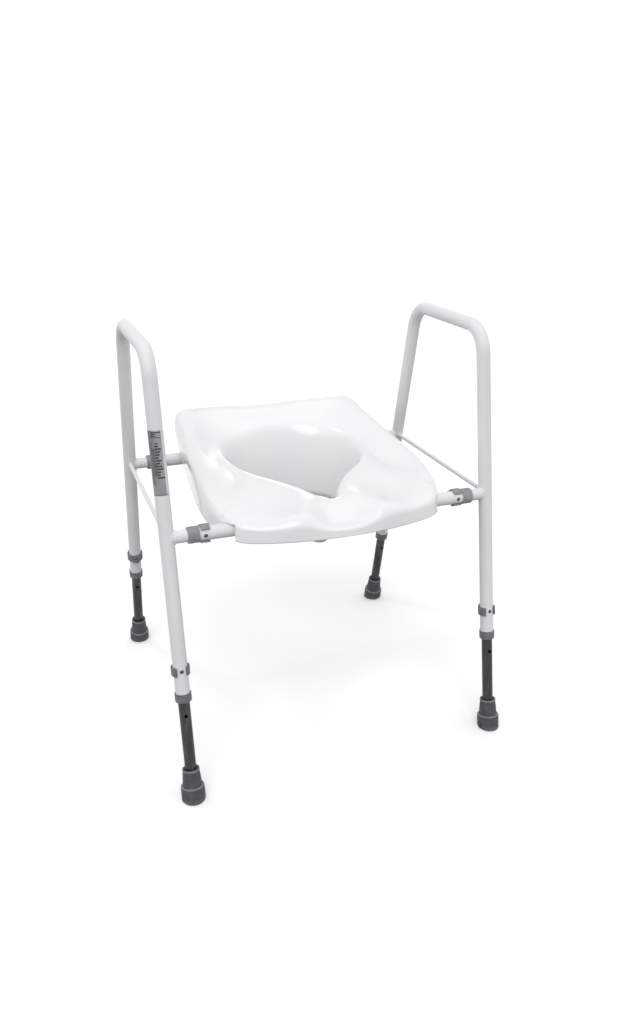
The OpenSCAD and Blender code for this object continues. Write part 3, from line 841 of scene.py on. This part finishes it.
def build_welds():
    for corner, side, end in CORNERS:
        body = corner.split("_")[1] + "_frame"
        axis = leg_matrix(side, end).to_3x3() @ Vector((0, 0, 1))
        foot = Vector((side * side_x, end * foot_y, 0))
        stub_start = (side * side_x, end * cross_y, cross_z)
        curve = meeting_curve(stub_start, (-side, 0, 0), stub_r, foot, axis, 64)
        finish_with(bead("stub_weld_" + corner, curve, STUB_BEAD_R), "powder_white", body)
        brace_start = (side * side_x, end * (foot_y - brace_z * math.tan(lean)), brace_z)
        curve = meeting_curve(brace_start, (0, -end, 0), brace_r, foot, axis, 40)
        finish_with(bead("brace_weld_" + corner, curve, BRACE_BEAD_R), "powder_white", body)


# ---------------------------------------------------------------- label

# Its ends along the left front upright, its first and last angle round it, and its film
LABEL_LOW, LABEL_HIGH = 557 * MM, 665 * MM
LABEL_START, LABEL_STOP = 145, 325
LABEL_R, LABEL_FILM = tube_r + 0.03 * MM, 0.15 * MM


def build_label():
    """The sticker, as a thin wrapped sheet with its own wrap coordinates."""
    columns, rows = 48, 24
    grid = []
    for radius in (LABEL_R + LABEL_FILM, LABEL_R):
        for i in range(columns + 1):
            a = math.radians(LABEL_START + (LABEL_STOP - LABEL_START) * i / columns)
            for j in range(rows + 1):
                z = LABEL_LOW + (LABEL_HIGH - LABEL_LOW) * j / rows
                grid.append((radius * math.cos(a), radius * math.sin(a), z))
    per = (columns + 1) * (rows + 1)

    def at(layer, i, j):
        return layer * per + i * (rows + 1) + j

    faces = []
    for i in range(columns):
        for j in range(rows):
            faces.append((at(0, i, j), at(0, i + 1, j), at(0, i + 1, j + 1), at(0, i, j + 1)))
            faces.append((at(1, i, j), at(1, i, j + 1), at(1, i + 1, j + 1), at(1, i + 1, j)))
    for i in range(columns):
        faces.append((at(0, i, 0), at(1, i, 0), at(1, i + 1, 0), at(0, i + 1, 0)))
        faces.append((at(0, i, rows), at(0, i + 1, rows), at(1, i + 1, rows), at(1, i, rows)))
    for j in range(rows):
        faces.append((at(0, 0, j), at(0, 0, j + 1), at(1, 0, j + 1), at(1, 0, j)))
        faces.append((at(0, columns, j), at(1, columns, j), at(1, columns, j + 1), at(0, columns, j + 1)))
    label = new_object("label_sheet", grid, faces, leg_matrix(LEFT, FRONT))
    wrap = label.data.uv_layers.new(name="wrap")
    for loop in label.data.loops:
        k = loop.vertex_index % per
        wrap.data[loop.index].uv = (k // (rows + 1) / columns, k % (rows + 1) / rows)
    outward(label)
    finish_with(label, "label_film", "left_frame", "rating_label")


# ---------------------------------------------------------------- CAD nodes that keep their mesh

# Rounding of the edges of each kind of node, in mm
BEVELS = {
    "seat_clip": 0.8, "cross_collar": 0.5, "leg_collar": 0.5, "leg_pin": 0.8, "cross_pin": 0.8,
    "washer": 0.3, "leg": 0.3, "seat_clip_screws": 0.2,
}


def dress_cad_nodes():
    slots = {s["node"]: s["material_slot"] for s in frame["record"]["subparts"]}
    for name, obj in frame["nodes"].items():
        obj.data.materials.clear()
        pale = name.startswith("cross_collar")
        obj.data.materials.append(MATERIALS["pale_grey_plastic" if pale else slots[name]])
        kind = name
        for corner, _, _ in CORNERS:
            kind = kind.removesuffix("_" + corner)
        if kind in BEVELS:
            bevel = obj.modifiers.new("edge_round", "BEVEL")
            bevel.width = BEVELS[kind] * MM
            bevel.segments = 3
            bevel.limit_method = "ANGLE"
            bevel.angle_limit = math.radians(50)


# ---------------------------------------------------------------- stage, light and camera

def build_stage():
    """A round floor that sends no light back into the object; the air below does that, more gently."""
    bm = bmesh.new()
    bmesh.ops.create_circle(bm, cap_ends=True, radius=14, segments=96)
    floor = link("studio_floor", mesh_from("studio_floor", bm))
    floor.data.materials.append(stage_floor())
    floor.visible_diffuse = False


# Brightness of the studio's air by the sine of the height angle: a dim bounce from below in place of the
# floor's own, white at the horizon, greyer walls above it and a slightly brighter ceiling
SKY = [
    (-1.0, 0.12), (-0.13, 0.12), (-0.085, 1.03), (0.155, 1.03), (0.32, 0.6), (0.5, 0.6), (0.7, 0.75),
    (1.0, 0.7),
]
AIR_COLOUR = (0.985, 0.99, 1.0, 1)


def build_air():
    world = bpy.data.worlds.new("studio_air")
    bpy.context.scene.world = world
    world.use_nodes = True
    tree = world.node_tree
    coords = tree.nodes.new("ShaderNodeTexCoord")
    split = tree.nodes.new("ShaderNodeSeparateXYZ")
    ramp = tree.nodes.new("ShaderNodeFloatCurve")
    tree.links.new(coords.outputs["Generated"], split.inputs[0])
    curve = ramp.mapping.curves[0]
    ramp.mapping.clip_min_x, ramp.mapping.clip_max_y = -1, 4
    while len(curve.points) < len(SKY):
        curve.points.new(0.5, 0.5)
    for point, (height, level) in zip(curve.points, SKY):
        point.location = (height, level)
        point.handle_type = "AUTO_CLAMPED"
    ramp.mapping.update()
    tree.links.new(split.outputs["Z"], ramp.inputs["Value"])
    background = tree.nodes["Background"]
    background.inputs["Color"].default_value = AIR_COLOUR
    tree.links.new(ramp.outputs["Value"], background.inputs["Strength"])


def area_light(name, place, target, size, power):
    data = bpy.data.lights.new(name, "AREA")
    data.shape = "RECTANGLE"
    data.size, data.size_y = size
    data.energy = power
    light = link(name, data)
    light.location = place
    light.rotation_euler = (Vector(target) - Vector(place)).to_track_quat("-Z", "Y").to_euler()


def compass(azimuth, elevation):
    """Direction at an angle in degrees from +Y towards +X, and at a height above the floor."""
    a, e = math.radians(azimuth), math.radians(elevation)
    return Vector((math.sin(a) * math.cos(e), math.cos(a) * math.cos(e), math.sin(e)))


def sun(name, azimuth, elevation, softness, strength):
    """A soft, even light from far away, coming from the given compass angle and height."""
    data = bpy.data.lights.new(name, "SUN")
    data.angle = math.radians(softness)
    data.energy = strength
    light = link(name, data)
    light.rotation_euler = compass(azimuth, elevation).to_track_quat("Z", "Y").to_euler()


def build_lights():
    """Two wide suns shade the object; two small softboxes only leave glints on the glossy seat."""
    seat_middle = (0, 0, 0.5)
    sun("key_sky", 205, 52, 40, 0.9)
    sun("fill_sky", 90, 60, 50, 0.2)
    area_light("key_softbox", (-0.9, 0.9, 2.6), seat_middle, (0.22, 0.16), 4)
    area_light("window", (1.7, 4.2, 2.1), seat_middle, (0.6, 0.3), 4)


# The photo's camera: place in metres, direction of view and roll in degrees
CAMERA_PLACE = (-0.5141, -1.4259, 1.0551)
CAMERA_AZIMUTH, CAMERA_ELEVATION, CAMERA_ROLL = 20.499, -24.131, 0.444


def build_camera():
    data = bpy.data.cameras.new("photo_view")
    data.lens = 28.825
    data.sensor_width = 36
    data.shift_y = 0.0105
    data.clip_start, data.clip_end = 0.05, 60
    camera = link("photo_view", data)
    look = compass(CAMERA_AZIMUTH, CAMERA_ELEVATION).to_track_quat("-Z", "Y")
    roll = Matrix.Rotation(math.radians(CAMERA_ROLL), 3, "Z").to_quaternion()
    camera.rotation_mode = "QUATERNION"
    camera.location = CAMERA_PLACE
    camera.rotation_quaternion = look @ roll
    bpy.context.scene.camera = camera


bpy.context.scene.view_settings.view_transform = "Standard"
build_camera()
build_stage()
build_air()
build_lights()
dress_cad_nodes()
build_seat()
build_ferrules()
build_clips()
build_welds()
build_label()
